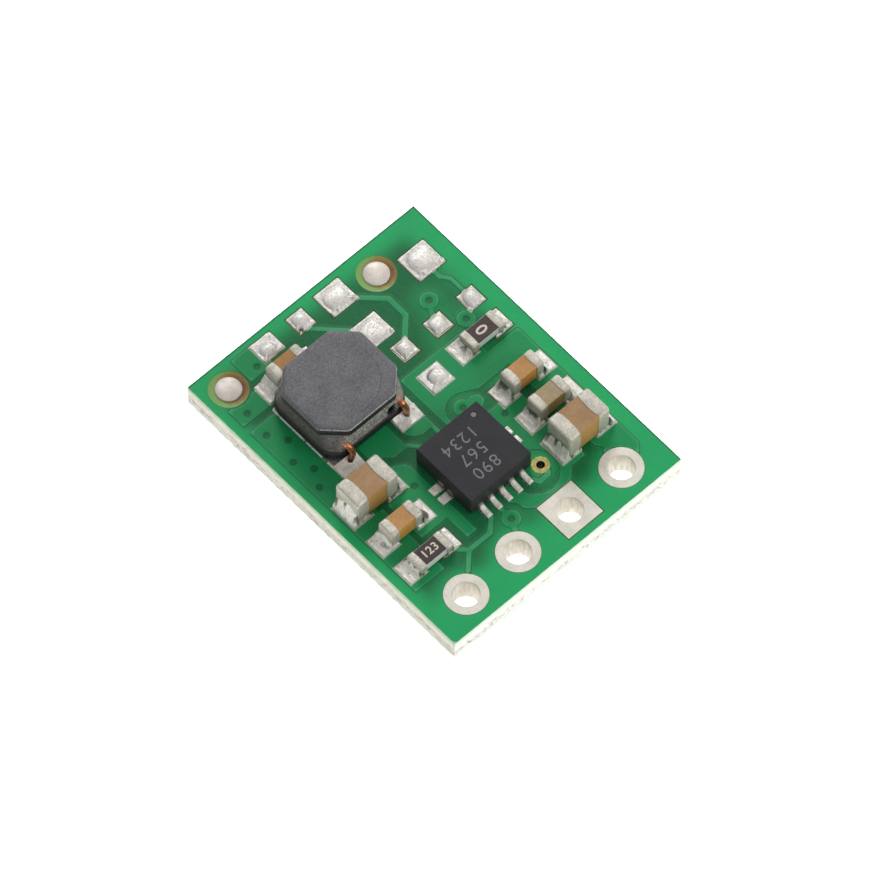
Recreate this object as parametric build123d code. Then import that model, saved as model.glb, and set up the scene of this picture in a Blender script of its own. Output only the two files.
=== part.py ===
from build123d import *
import os
from math import atan2, degrees, hypot

# Boost converter module: a small two-layer circuit board with a four-hole header row, a power inductor,
# a ten-lead converter chip, six chip capacitors, two chip resistors and nine unused soldered pads.
# Millimetres. Z = 0 is the board's underside, X runs along the header row, Y points away from it.

# Board and its layers
board_x = 11.1
board_y = 14.25
core_t = 1.05
foil_t = 0.035
mask_t = 0.02          # over the foil; the mask is level, so it fills the spaces between the copper
opening_gap = 0.04     # how much wider a mask opening is than its pad
tin_t = 0.025          # tin on the header pads and the fiducials
under_tin_t = 0.015
gilt_t = 0.01
film_sides = 14        # sides of a round outline cut in a film
bend_sides = 6         # sides of a bend in a track

foil_under = mask_t
core_under = foil_under + foil_t
core_top = core_under + core_t
foil_top = core_top + foil_t
mask_top = foil_top + mask_t

# Header row
header_pitch = 2.54
header_count = 4
header_x = -0.09
header_y = -5.93
header_hole_r = 0.51
plating_t = 0.035
header_pad_r = 0.84
square_pad = 1.70
square_index = 2

# Vias: small ones under the mask, ringed ones under the mask, and one bare one
via_sides = 6
via_r = 0.2
via_bore_r = 0.13
via_ring_r = 0.37
plain_vias = [(-4.80, 3.72), (-4.70, 4.85), (-4.35, 3.05), (-4.83, 2.25), (-4.45, 1.55), (-4.83, 0.85),
              (-3.14, 6.05), (-2.28, -1.42), (2.15, -1.45)]
ringed_vias = [(3.30, 3.85), (3.78, 2.38), (-0.61, -4.77), (1.20, -0.25)]
open_via = (1.66, -3.87)
open_via_bore_r = 0.155
open_ring_r = 0.35
open_sides = 12
open_via_gap = 0.01     # how much wider the mask opening is than the bare ring

# Fiducials
fiducials = [(-4.52, 6.06), (2.65, 5.96)]
fiducial_r = 0.5
fiducial_opening_r = 0.76

# Copper: pours, the clear areas in them, and the tracks' widths
pour_blocks = [(-5.18, -3.95, -1.32, 4.22), (-5.18, -3.75, -4.65, -1.32), (-5.18, -3.03, 4.52, 5.40),
               (-3.72, -2.60, 5.72, 6.86)]
pour_outlines = [
    [(-2.75, 1.60), (-1.35, 1.60), (-1.35, 0.02), (-1.50, -0.09), (-2.02, -0.09), (-2.32, 0.17),
     (-2.46, 0.17), (-2.46, -0.30), (-2.75, -0.30)],
    [(-1.12, 0.47), (-0.02, 0.47), (-0.02, -0.90), (-0.22, -0.90), (-0.22, -0.07), (-0.62, -0.07),
     (-0.90, 0.06), (-1.12, 0.33)],
    [(-3.53, -1.34), (-2.50, -1.34), (-2.50, -0.25), (-2.28, -0.28), (-1.92, -0.50), (-1.80, -0.75),
     (-1.80, -4.28), (-2.30, -4.28), (-2.30, -3.17), (-3.53, -3.17)],
    [(0.27, 2.12), (3.45, 2.12), (3.45, 0.87), (4.92, 0.87), (4.92, -5.60), (4.30, -6.30), (3.72, -5.92),
     (3.45, -5.20), (3.82, -4.88), (3.62, -4.60), (3.62, -0.06), (2.15, -0.06), (1.62, 0.24), (0.58, -0.30),
     (0.58, -0.90), (0.27, -0.90)],
    [(1.20, -0.95), (3.15, -0.95), (3.15, -4.68), (2.45, -4.68), (2.10, -5.05), (0.30, -5.05), (-0.02, -4.75),
     (-0.02, -4.50), (-0.22, -4.25), (-0.22, -3.60), (1.20, -3.60)]]
clear_rounds = [(1.32, -3.93, 0.90), (1.20, -0.33, 0.68)]
fiducial_clear = 0.05
thin_track = 0.20
signal_track = 0.22
supply_track = 0.24
switch_track = 0.58
plane = -5.0, 4.5, -5.5, 6.4       # the copper plane under the board
under_track = 0.25
under_track_clear = 0.62
pad_clear = 0.20
ring_clear = 0.18

# Unused pads: low x, high x, low y, high y
bare_pads = [(-2.83, -1.83, 5.93, 6.83), (-1.10, -0.32, 5.95, 6.78), (0.28, 1.50, 5.65, 6.80),
             (3.58, 4.86, 4.63, 5.87), (0.33, 1.53, 3.73, 4.88), (0.90, 1.66, 2.54, 3.34),
             (2.46, 3.28, 2.48, 3.28), (4.10, 4.87, 2.47, 3.28), (0.80, 1.79, 0.84, 1.80)]
bump_rise = 0.16
bump_rim = 0.02
bump_slope = 0.22      # how far the solder's top stands in from the pad's edge

# Chip parts: length, width, height, end cap, land length, outer span of the lands, land width
big_chip = dict(length=2.0, width=1.22, height=1.30, band=0.52,
                land=0.95, span=2.64, depth=1.22, climb=0.62)
small_chip = dict(length=1.54, width=0.78, height=0.83, band=0.36,
                  land=0.85, span=2.58, depth=0.92, climb=0.42)
flat_chip = dict(length=1.60, width=0.80, height=0.42, band=0.31,
                 land=0.84, span=2.49, depth=0.94, climb=0.24)
cap_t = 0.03
cap_bevel = 0.055
seat_gap = 0.08
toe_t = 0.04
climb_bend = 0.5       # where the solder fillet bends, from the chip's end out to the land's edge
climb_share = 0.12     # how high it is there
climb_width = 0.9      # its width, against the chip's
glaze_t = 0.03
glaze_margin = 0.05

# Lands' centre, then how far the chip sits off it
capacitors = [(small_chip, -2.54, 5.03, 0.03, 0.06), (big_chip, -3.775, -0.69, -0.085, 0.07),
              (small_chip, -3.80, -2.385, -0.04, 0.0), (small_chip, 3.57, -0.825, -0.01, 0.0),
              (small_chip, 3.575, -2.30, 0.0, 0.05), (big_chip, 3.57, -3.835, 0.0, 0.03)]
resistors = [(flat_chip, 3.63, 1.50, 0.10, -0.02), (flat_chip, -3.86, -3.85, 0.05, -0.06)]

# Power inductor
coil_x = -1.99
coil_y = 2.88
coil_length = 3.90
coil_depth = 3.60
coil_cut = 0.82            # corner cut of the top flange
coil_base_cut = 0.42       # corner cut of the base flange
coil_base = mask_top + 0.07
base_flange_t = 0.40
top_flange_t = 0.27
coil_top = mask_top + 1.82
coil_bevel = 0.09
coil_bevel_in = 0.16
drum_r = 0.85
winding_r = 1.62
winding_gap = 0.03
wire_r = 0.11
wire_sides = 6
wire_gap = 0.004
wire_routes = [[(-3.30, 2.05, 2.20), (-3.28, 1.22, 2.05), (-3.16, 0.94, 1.62), (-3.26, 0.92, 1.22)],
               [(-0.72, 2.00, 2.20), (-0.72, 1.22, 2.10), (-0.58, 0.94, 1.62), (-0.54, 0.92, 1.22)]]
resin_foot_in = 0.02        # how far the resin stands in from the flanges, below and above
resin_head_in = 0.05
coil_land_x = (-3.93, -2.93), (-1.09, -0.05)
coil_land_y = 0.48, 4.35
terminal_t = 0.03
terminal_in = 0.04
coil_toe_in = 0.05
coil_toe_t = 0.15
coil_toe_bevel = 0.07
body_gap = 0.01
void_at = -1.03, 2.05       # a hollow left in the resin beside one wire: x and height
void_r = 0.14
void_depth = 0.25
void_sides = 8

# Converter chip
chip_x = -0.09
chip_y = -2.20
chip_length = 2.95
chip_width = 2.90
chip_base = mask_top + 0.04
chip_top = mask_top + 0.97
lead_count = 5
lead_pitch = 0.5
lead_w = 0.23
lead_l = 0.42
lead_t = 0.2
land_centre_y = -2.30
land_reach = 1.87
land_inner = 1.05
heat_pad_x = 1.70
heat_pad_y = 1.7
tab_w = 0.30
tab_y = -2.06, -2.54
tab_reach = 1.92
dot_at = (0.92, -1.10)
dot_r = 0.13
dot_depth = 0.02
mould_bevel = 0.025
lead_shift = -0.01
lead_toe_t = 0.07
lead_bend = 0.45, 0.17      # where a lead's solder bends: share of its reach, and height
lead_climb = 0.30


def block(x0, x1, y0, y1, grow=0.0):
    return Pos((x0 + x1) / 2, (y0 + y1) / 2) * Rectangle(x1 - x0 + 2 * grow, y1 - y0 + 2 * grow)


def disc(x, y, radius):
    return Pos(x, y) * Circle(radius)


def ngon(x, y, radius, sides=film_sides):
    return Pos(x, y) * RegularPolygon(radius, sides, major_radius=False, rotation=180 / sides)


def outline(points):
    return make_face(Polyline(*points, close=True))


def track(points, width):
    runs = [ngon(x, y, width / 2, bend_sides) for x, y in points]
    for (x0, y0), (x1, y1) in zip(points, points[1:]):
        turn = Rot(0, 0, degrees(atan2(y1 - y0, x1 - x0)))
        runs.append(Pos((x0 + x1) / 2, (y0 + y1) / 2) * turn * Rectangle(hypot(x1 - x0, y1 - y0), width))
    return Sketch() + runs


def slab(area, low, high):
    return Pos(0, 0, low) * extrude(area, high - low, dir=(0, 0, 1))


def header_holes():
    first = header_x - header_pitch * (header_count - 1) / 2
    return [(first + i * header_pitch, header_y) for i in range(header_count)]


def chip_lands(size, x, y):
    half, deep = size["span"] / 2, size["depth"] / 2
    return [(x - half, x - half + size["land"], y - deep, y + deep),
            (x + half - size["land"], x + half, y - deep, y + deep)]


def coil_lands():
    return [(x0, x1, *coil_land_y) for x0, x1 in coil_land_x]


def lead_places():
    middle = (lead_count - 1) / 2
    return [chip_x + lead_shift + (i - middle) * lead_pitch for i in range(lead_count)]


def lead_lands():
    lands = []
    for x in lead_places():
        for side in (-1, 1):
            ends = sorted((land_centre_y + side * land_inner, land_centre_y + side * land_reach))
            lands.append((x - lead_w / 2, x + lead_w / 2, *ends))
    return lands


def tab_lands():
    inner = heat_pad_x / 2
    return [(*sorted((chip_x + side * inner, chip_x + side * tab_reach)), y - tab_w / 2, y + tab_w / 2)
            for y in tab_y for side in (-1, 1)]


def heat_pad_land():
    return (chip_x - heat_pad_x / 2, chip_x + heat_pad_x / 2,
            land_centre_y - heat_pad_y / 2, land_centre_y + heat_pad_y / 2)


def all_lands():
    lands = bare_pads + coil_lands() + lead_lands() + tab_lands() + [heat_pad_land()]
    for size, x, y, _, _ in capacitors + resistors:
        lands += chip_lands(size, x, y)
    return lands


def header_pad(index):
    x, y = header_holes()[index]
    if index == square_index:
        half = square_pad / 2
        return block(x - half, x + half, y - half, y + half)
    return disc(x, y, header_pad_r)


def header_opening(index, gap):
    x, y = header_holes()[index]
    if index == square_index:
        half = square_pad / 2 + gap
        return block(x - half, x + half, y - half, y + half)
    return ngon(x, y, header_pad_r + gap)


def pours():
    return [block(*area) for area in pour_blocks] + [outline(points) for points in pour_outlines]


def clearances():
    around_fiducials = [ngon(x, y, fiducial_opening_r + fiducial_clear) for x, y in fiducials]
    return around_fiducials + [ngon(*area) for area in clear_rounds]


def tracks():
    header = header_holes()
    leads = lead_places()
    first_route = [(leads[0], -3.95), (leads[0], -4.22), (-1.58, -4.68), (-2.60, -4.68), (-3.38, -5.45)]
    last_route = [(leads[4], -3.90), (1.18, -4.34), (1.58, -4.34), (1.76, -4.13), (1.76, -3.90)]
    return [track(first_route + [header[0]], signal_track),
            track([(-2.60, -4.68), (-2.95, -4.30)], signal_track),
            track([(leads[1], -3.95), ringed_vias[2]], signal_track),
            track([ringed_vias[2], (-0.95, -5.45), header[1]], supply_track),
            track(last_route, supply_track),
            track([(1.20, -0.34), (1.72, -0.38)], switch_track),
            track([(-1.60, 0.05), (-1.34, -0.02), (-1.07, -0.33), (-1.07, -0.85)], thin_track),
            track([(-0.71, 6.15), (-0.71, 5.95), (0.47, 4.77)], thin_track),
            track([(1.25, 5.92), (2.27, 4.90), (2.27, 3.97), (1.45, 3.15)], supply_track),
            track([(4.25, 4.85), (4.25, 4.32), (4.50, 3.98), (4.50, 3.05)], thin_track),
            track([ringed_vias[0], (2.88, 3.15)], signal_track),
            track([ringed_vias[1], (4.25, 2.62)], signal_track)]


def drilled():
    header = [ngon(x, y, header_hole_r + plating_t) for x, y in header_holes()]
    return header + [ngon(*open_via, via_r, open_sides)]


def pad_areas():
    return [header_opening(i, 0) for i in range(header_count)] + [ngon(*open_via, open_ring_r, open_sides)]


def top_foil_area():
    area = Sketch() + pours()
    area -= clearances()
    area += tracks()
    area += [block(*land) for land in all_lands()]
    area += [ngon(x, y, via_ring_r) for x, y in ringed_vias]
    return area - pad_areas() - [ngon(x, y, fiducial_r) for x, y in fiducials]


def bottom_foil_area():
    route_a = [ringed_vias[3], ringed_vias[0]]
    route_b = [open_via, ringed_vias[1]]
    round_pads = [place for i, place in enumerate(header_holes()) if i != square_index]
    area = Sketch() + block(*plane)
    area -= [ngon(x, y, header_pad_r + pad_clear) for x, y in round_pads]
    area -= [ngon(x, y, via_ring_r + ring_clear, bend_sides) for x, y in ringed_vias + [open_via]]
    area -= [track(route, under_track_clear) for route in (route_a, route_b)]
    area += [track(route, under_track) for route in (route_a, route_b)]
    area += [ngon(x, y, via_ring_r, bend_sides) for x, y in ringed_vias]
    return area - pad_areas()


def board_outline():
    return Rectangle(board_x, board_y)


def make_laminate():
    vias = [ngon(x, y, via_r, via_sides) for x, y in plain_vias + ringed_vias]
    return slab(board_outline() - drilled() - vias, core_under, core_top)


def make_top_mask():
    openings = [block(*land, opening_gap) for land in all_lands()]
    openings += [header_opening(i, opening_gap) for i in range(header_count)]
    openings += [ngon(x, y, fiducial_opening_r) for x, y in fiducials]
    openings += [ngon(*open_via, open_ring_r + open_via_gap, open_sides)]
    return slab(board_outline() - openings, core_top, mask_top) - slab(top_foil_area(), core_top, foil_top)


def make_bottom_mask():
    openings = [header_opening(i, opening_gap) for i in range(header_count)]
    openings += [ngon(*open_via, open_ring_r + open_via_gap, open_sides)]
    return slab(board_outline() - openings, 0, core_under) - slab(bottom_foil_area(), foil_under, core_under)


def make_plated_hole(index):
    x, y = header_holes()[index]
    barrel = slab(ngon(x, y, header_hole_r + plating_t), core_under, core_top)
    top_pad = slab(header_pad(index), core_top, foil_top + tin_t)
    under_pad = slab(header_opening(index, 0), foil_under - under_tin_t, core_under)
    return barrel + top_pad + under_pad - slab(disc(x, y, header_hole_r), 0, mask_top + tin_t)


def make_via_barrels():
    ring = ngon(0, 0, via_r, via_sides) - ngon(0, 0, via_bore_r, via_sides)
    return Part() + [slab(Pos(x, y) * ring, core_under, core_top) for x, y in plain_vias + ringed_vias]


def make_open_via():
    bore = ngon(*open_via, open_via_bore_r, open_sides)
    barrel = slab(ngon(*open_via, via_r, open_sides) - bore, core_under, core_top)
    ring = ngon(*open_via, open_ring_r, open_sides) - bore
    return barrel + slab(ring, core_top, foil_top + gilt_t) + slab(ring, foil_under - gilt_t, core_under)


def make_fiducials():
    return Part() + [slab(ngon(x, y, fiducial_r), core_top, foil_top + tin_t) for x, y in fiducials]


def make_pad_bumps():
    bumps = Part()
    for x0, x1, y0, y1 in bare_pads:
        pad = slab(block(x0, x1, y0, y1), foil_top, foil_top + bump_rise)
        bumps += chamfer(pad.faces().sort_by(Axis.Z)[-1].edges(), bump_rise - bump_rim, bump_slope)
    return bumps


def chip_frame(placed):
    size, x, y, dx, dy = placed
    return Pos(x + dx, y + dy, foil_top + seat_gap)


def standing_box(length, width, height):
    return Box(length, width, height, align=(Align.CENTER, Align.CENTER, Align.MIN))


def chip_core(size):
    return Pos(0, 0, cap_t) * standing_box(size["length"] - 2 * cap_t, size["width"] - 2 * cap_t,
                                           size["height"] - 2 * cap_t)


def make_chip_body(placed):
    return chip_frame(placed) * chip_core(placed[0])


def end_cap_pair(size, core):
    band = size["band"]
    shell = Pos(size["length"] / 2 - band / 2, 0, 0) * standing_box(band, size["width"], size["height"])
    outer_edges = shell.faces().sort_by(Axis.X)[-1].edges() + shell.edges().filter_by(Axis.X)
    shell = chamfer(outer_edges, cap_bevel) - core
    return Part() + [shell, mirror(shell, Plane.YZ)]


def make_end_caps(placed):
    size = placed[0]
    return chip_frame(placed) * end_cap_pair(size, chip_core(size))


def make_chip_solder(placed):
    size, x, y, dx, dy = placed
    joints = Part()
    for side, land in zip((-1, 1), chip_lands(size, x, y)):
        tip = x + dx + side * size["length"] / 2
        outer = land[0] if side < 0 else land[1]
        bend = tip + (outer - tip) * climb_bend
        bed_top = foil_top + seat_gap
        bend_top = bed_top + size["climb"] * climb_share
        profile = Polyline((tip, foil_top), (outer, foil_top), (outer, foil_top + toe_t),
                           (bend, bend_top), (tip, foil_top + size["climb"]), close=True)
        fillet_face = Plane.XZ.offset(-(y + dy)) * make_face(profile)
        rise = extrude(fillet_face, size["width"] * climb_width / 2, both=True)
        bed = slab(block(*sorted((tip, land[0] + land[1] - outer)), land[2], land[3]), foil_top, bed_top)
        toe = slab(block(*sorted((tip, outer)), land[2], land[3]), foil_top, foil_top + toe_t)
        joints += rise + bed + toe
    return joints


def resistor_core(size):
    inside = standing_box(size["length"] - 2 * cap_t, size["width"] - 2 * cap_t,
                          size["height"] - 2 * cap_t - glaze_t)
    return Pos(0, 0, cap_t) * inside


def resistor_glaze(size):
    length = size["length"] - 2 * size["band"]
    width = size["width"] - 2 * glaze_margin
    return Pos(0, 0, size["height"] - cap_t - glaze_t) * standing_box(length, width, glaze_t)


def make_resistor_body(placed):
    return chip_frame(placed) * resistor_core(placed[0])


def make_resistor_glaze(placed):
    return chip_frame(placed) * resistor_glaze(placed[0])


def make_resistor_caps(placed):
    size = placed[0]
    return chip_frame(placed) * end_cap_pair(size, resistor_core(size))


def octagon(length, depth, cut):
    half_x, half_y = length / 2, depth / 2
    return make_face(Polyline((half_x, half_y - cut), (half_x - cut, half_y), (cut - half_x, half_y),
                              (-half_x, half_y - cut), (-half_x, cut - half_y), (cut - half_x, -half_y),
                              (half_x - cut, -half_y), (half_x, cut - half_y), close=True))


def flange_levels():
    low = coil_base + base_flange_t
    return low, coil_top - coil_bevel - top_flange_t


def make_inductor_core():
    low, high = flange_levels()
    base = slab(octagon(coil_length, coil_depth, coil_base_cut), coil_base, low)
    top = slab(octagon(coil_length, coil_depth, coil_cut), high, coil_top)
    top = chamfer(top.faces().sort_by(Axis.Z)[-1].edges(), coil_bevel, coil_bevel_in)
    drum = slab(ngon(0, 0, drum_r), low, high)
    return Pos(coil_x, coil_y) * (base + drum + top) - wire_clearance()


def make_winding():
    low, high = flange_levels()
    ring = ngon(0, 0, winding_r) - ngon(0, 0, drum_r)
    return Pos(coil_x, coil_y) * slab(ring, low + winding_gap, high - winding_gap)


def make_resin():
    low, high = flange_levels()
    layers = ((low, resin_foot_in, coil_base_cut), (high, resin_head_in, coil_cut))
    faces = [Pos(0, 0, z) * octagon(coil_length - 2 * inset, coil_depth - 2 * inset, cut)
             for z, inset, cut in layers]
    fill = loft(faces, ruled=True) - slab(ngon(0, 0, drum_r), low, high)
    fill = Pos(coil_x, coil_y) * fill - make_winding()
    hollow = Rot(90, 0, 0) * extrude(ngon(0, 0, void_r, void_sides), void_depth, both=True)
    hollow = Pos(void_at[0], coil_y - coil_depth / 2, void_at[1]) * hollow
    return fill - hollow - wire_clearance()


def wire_solid(route, radius):
    path = Polyline(*route)
    section = Plane(path @ 0, z_dir=path % 0) * ngon(0, 0, radius, wire_sides)
    return sweep(section, path, transition=Transition.RIGHT)


def wire_clearance():
    return [wire_solid(route, wire_r + wire_gap) for route in wire_routes]


def make_wire_ends():
    return Part() + [wire_solid(route, wire_r) - make_winding() for route in wire_routes]


def make_terminals():
    low_y = coil_y - coil_depth / 2 + terminal_in
    plates = [block(x0 + terminal_in, x1 - terminal_in, low_y, coil_land_y[1]) for x0, x1 in coil_land_x]
    return Part() + [slab(plate, coil_base - terminal_t, coil_base) for plate in plates]


def make_inductor_solder():
    near = coil_y - coil_depth / 2
    joints = Part()
    for x0, x1, y0, y1 in coil_lands():
        bed = slab(block(x0, x1, y0, y1), foil_top, coil_base - terminal_t)
        toe_area = block(x0 + coil_toe_in, x1 - coil_toe_in, y0 + coil_toe_in, near - body_gap)
        toe = slab(toe_area, foil_top, foil_top + coil_toe_t)
        joints += bed + chamfer(toe.faces().sort_by(Axis.Z)[-1].edges(), coil_toe_bevel)
    return joints - wire_clearance()


def lead_block(x, side):
    face = chip_y + side * chip_width / 2
    ends = sorted((face, face - side * lead_l))
    return slab(block(x - lead_w / 2, x + lead_w / 2, *ends), chip_base, chip_base + lead_t)


def chip_leads():
    return [lead_block(x, side) for x in lead_places() for side in (-1, 1)]


def heat_pad():
    half = chip_length / 2
    tabs = [block(chip_x - half, chip_x + half, y - tab_w / 2, y + tab_w / 2) for y in tab_y]
    return slab(block(*heat_pad_land()) + tabs, chip_base, chip_base + lead_t)


def make_chip_mould():
    mould = Pos(chip_x, chip_y, chip_base) * standing_box(chip_length, chip_width, chip_top - chip_base)
    mould = chamfer(mould.faces().sort_by(Axis.Z)[-1].edges(), mould_bevel)
    dimple = slab(ngon(*dot_at, dot_r), chip_top - dot_depth, chip_top)
    return mould - dimple - chip_leads() - heat_pad()


def make_chip_leads():
    return Part() + chip_leads()


def lead_solder(x, side):
    face = chip_y + side * chip_width / 2
    toe = land_centre_y + side * land_reach
    heel = land_centre_y + side * land_inner
    reach = abs(toe - face)
    share, bend_t = lead_bend
    profile = Polyline((0, 0), (reach, 0), (reach, lead_toe_t), (reach * share, bend_t),
                       (0, lead_climb), close=True)
    section = Plane((x - lead_w / 2, face, foil_top), x_dir=(0, side, 0), z_dir=(side, 0, 0))
    fillet_solid = extrude(section * make_face(profile), side * lead_w)
    bed = slab(block(x - lead_w / 2, x + lead_w / 2, *sorted((face, heel))), foil_top, chip_base)
    return fillet_solid + bed


def make_chip_solder_joints():
    joints = Part() + [lead_solder(x, side) for x in lead_places() for side in (-1, 1)]
    joints += slab(block(*heat_pad_land()), foil_top, chip_base)
    for x0, x1, y0, y1 in tab_lands():
        joints += slab(block(x0, x1, y0, y1), foil_top, chip_base)
    return joints


def make_parts():
    parts = {
        "laminate": make_laminate(),
        "top_foil": slab(top_foil_area(), core_top, foil_top),
        "bottom_foil": slab(bottom_foil_area(), foil_under, core_under),
        "top_solder_mask": make_top_mask(),
        "bottom_solder_mask": make_bottom_mask(),
        "tented_via_barrels": make_via_barrels(),
        "open_via": make_open_via(),
        "fiducial_discs": make_fiducials(),
        "unused_pad_solder": make_pad_bumps(),
        "inductor_core": make_inductor_core(),
        "inductor_winding": make_winding(),
        "inductor_resin": make_resin(),
        "inductor_wire_ends": make_wire_ends(),
        "inductor_terminals": make_terminals(),
        "inductor_solder": make_inductor_solder(),
        "converter_chip_mould": make_chip_mould(),
        "converter_chip_leads": make_chip_leads(),
        "converter_chip_heat_pad": heat_pad(),
        "converter_chip_solder": make_chip_solder_joints(),
    }
    for i in range(header_count):
        parts[f"plated_hole_{i + 1}"] = make_plated_hole(i)
    for i, placed in enumerate(capacitors):
        parts[f"capacitor_{i + 1}_body"] = make_chip_body(placed)
        parts[f"capacitor_{i + 1}_end_caps"] = make_end_caps(placed)
        parts[f"capacitor_{i + 1}_solder"] = make_chip_solder(placed)
    for i, placed in enumerate(resistors):
        parts[f"resistor_{i + 1}_body"] = make_resistor_body(placed)
        parts[f"resistor_{i + 1}_glaze"] = make_resistor_glaze(placed)
        parts[f"resistor_{i + 1}_end_caps"] = make_resistor_caps(placed)
        parts[f"resistor_{i + 1}_solder"] = make_chip_solder(placed)
    return parts


os.makedirs("parts", exist_ok=True)
for name, part in make_parts().items():
    part.label = name
    export_step(part, f"parts/{name}.step")
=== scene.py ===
import math
import bpy
import bmesh
import numpy as np
from mathutils import Matrix, Vector, noise
from mathutils.bvhtree import BVHTree
from mathutils.geometry import delaunay_2d_cdt


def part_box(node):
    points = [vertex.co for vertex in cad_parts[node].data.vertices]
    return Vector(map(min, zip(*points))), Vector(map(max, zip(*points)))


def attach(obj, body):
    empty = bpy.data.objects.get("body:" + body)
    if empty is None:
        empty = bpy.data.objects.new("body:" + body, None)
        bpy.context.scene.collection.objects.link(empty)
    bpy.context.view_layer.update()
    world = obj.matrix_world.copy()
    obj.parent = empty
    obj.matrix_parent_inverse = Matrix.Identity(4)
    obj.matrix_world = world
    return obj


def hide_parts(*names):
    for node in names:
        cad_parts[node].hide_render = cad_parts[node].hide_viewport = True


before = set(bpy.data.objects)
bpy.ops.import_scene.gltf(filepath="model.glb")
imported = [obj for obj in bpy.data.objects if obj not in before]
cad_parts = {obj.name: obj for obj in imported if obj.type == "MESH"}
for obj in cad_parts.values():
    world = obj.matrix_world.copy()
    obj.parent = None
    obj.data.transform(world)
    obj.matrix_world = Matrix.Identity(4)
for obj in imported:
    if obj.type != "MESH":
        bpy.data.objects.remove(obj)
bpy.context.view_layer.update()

mm = 0.001    # the frame is in metres, the sizes below are in millimetres
body = "root"
scene = bpy.context.scene
print("frame loaded:", len(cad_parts), "nodes")


# Colours and shader maths

def linear(colour):    # an sRGB colour from 0 to 255, as linear light
    return tuple(c / 255 / 12.92 if c <= 10 else ((c / 255 + 0.055) / 1.055) ** 2.4 for c in colour)


def maths(operation, swapped=False):    # an operator that adds a Math node
    def operator(self, other=0):
        first, second = (other, self) if swapped else (self, other)
        return self.paint.node("Math", {"operation": operation}, {0: first, 1: second})
    return operator


class Val:
    def __init__(self, paint, socket):
        self.paint = paint
        self.socket = socket

    __add__, __radd__ = maths("ADD"), maths("ADD", swapped=True)
    __sub__, __rsub__ = maths("SUBTRACT"), maths("SUBTRACT", swapped=True)
    __mul__, __rmul__ = maths("MULTIPLY"), maths("MULTIPLY", swapped=True)
    __pow__, __abs__ = maths("POWER"), maths("ABSOLUTE")


class Paint:    # a material or a world, and the nodes behind its shader
    def __init__(self, name, kind="materials", shader="Principled BSDF", **fixed):
        self.owner = getattr(bpy.data, kind).new(name)
        self.owner.use_nodes = True
        self.tree = self.owner.node_tree
        self.shader = self.tree.nodes[shader]
        for socketName, value in fixed.items():
            self.feed(socketName.replace("_", " "), value)

    def join(self, value, socket):
        if isinstance(value, Val):
            self.tree.links.new(value.socket, socket)
        else:
            socket.default_value = value

    def feed(self, socketName, value):
        self.join(value, self.shader.inputs[socketName])

    def node(self, kind, settings=None, sockets=None, out=0):
        made = self.tree.nodes.new("ShaderNode" + kind)
        for key, value in (settings or {}).items():
            setattr(made, key, value)
        for key, value in (sockets or {}).items():
            self.join(value, made.inputs[key])
        return Val(self, made.outputs[out])

    def place(self, stretch=(1, 1, 1), shift=(0, 0, 0)):    # object coordinates in millimetres
        scale = tuple(s / mm for s in stretch)
        return self.node("Mapping", {}, {0: self.node("TexCoord", out=3), "Scale": scale, "Location": shift})

    def axis(self, k):    # one of the object coordinates, in millimetres
        return self.node("SeparateXYZ", {}, {0: self.place()}, out=k)

    def facing(self, k):    # how far the surface faces along an axis, from -1 to 1
        return self.node("SeparateXYZ", {}, {0: self.node("TexCoord", out=1)}, out=k)

    def grain(self, scale, detail=3.0, rough=0.55, stretch=(1, 1, 1), shift=(0, 0, 0)):
        return self.node("TexNoise", {}, {"Vector": self.place(stretch, shift), "Scale": scale,
                                          "Detail": detail, "Roughness": rough})

    def cells(self, scale):
        return self.node("TexVoronoi", {}, {"Vector": self.place(), "Scale": scale})

    def attribute(self, name):
        return self.node("Attribute", {"attribute_name": name}, out=2)

    def crook(self):    # under a half in hollows, over it on ridges
        return self.node("NewGeometry", out=7)

    def between(self, value, low, high, outLow=0.0, outHigh=1.0):
        return self.node("MapRange", {}, {"Value": value, "From Min": low, "From Max": high, "To Min": outLow,
                                          "To Max": outHigh})

    def spread(self, value, outLow=0.0, outHigh=1.0):    # noise keeps near its middle, so it is drawn out
        return self.between(value, 0.3, 0.7, outLow, outHigh)

    def blend(self, factor, first, second):    # two colours, each a value or an sRGB colour
        first, second = (c if isinstance(c, Val) else (*linear(c), 1) for c in (first, second))
        return self.node("Mix", {"data_type": "RGBA"}, {0: factor, 6: first, 7: second}, out=2)

    def coats(self, base, *coats):    # base: a value and two colours, or a colour by itself
        if isinstance(base, tuple):
            base = self.blend(self.spread(base[0]), *base[1:])
        for *cover, colour in coats:    # cover: a factor, or a value, its range and the most it covers
            factor = cover[0] if len(cover) == 1 else self.between(*cover[:3], 0.0, cover[3])
            base = self.blend(factor, base, colour)
        return base

    def finish(self, base, rough, height=None, depth=0.0, strength=1.0):    # depth in millimetres
        self.feed("Base Color", base)
        self.feed("Roughness", rough if isinstance(rough, Val) else self.spread(*rough))
        if height:
            self.feed("Normal", self.node("Bump", {}, {"Height": height, "Distance": depth * mm,
                                                       "Strength": strength}))
        return self


# Mesh helpers

def addObject(name, data):
    made = bpy.data.objects.new(name, data)
    scene.collection.objects.link(made)
    return made


def stamp(mesh, label, values):    # a number at each point, from 0 to 1, for the paints
    attribute = mesh.attributes.new(label, "FLOAT", "POINT")
    attribute.data.foreach_set("value", np.clip(values, 0, 1).astype(np.float32))


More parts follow.
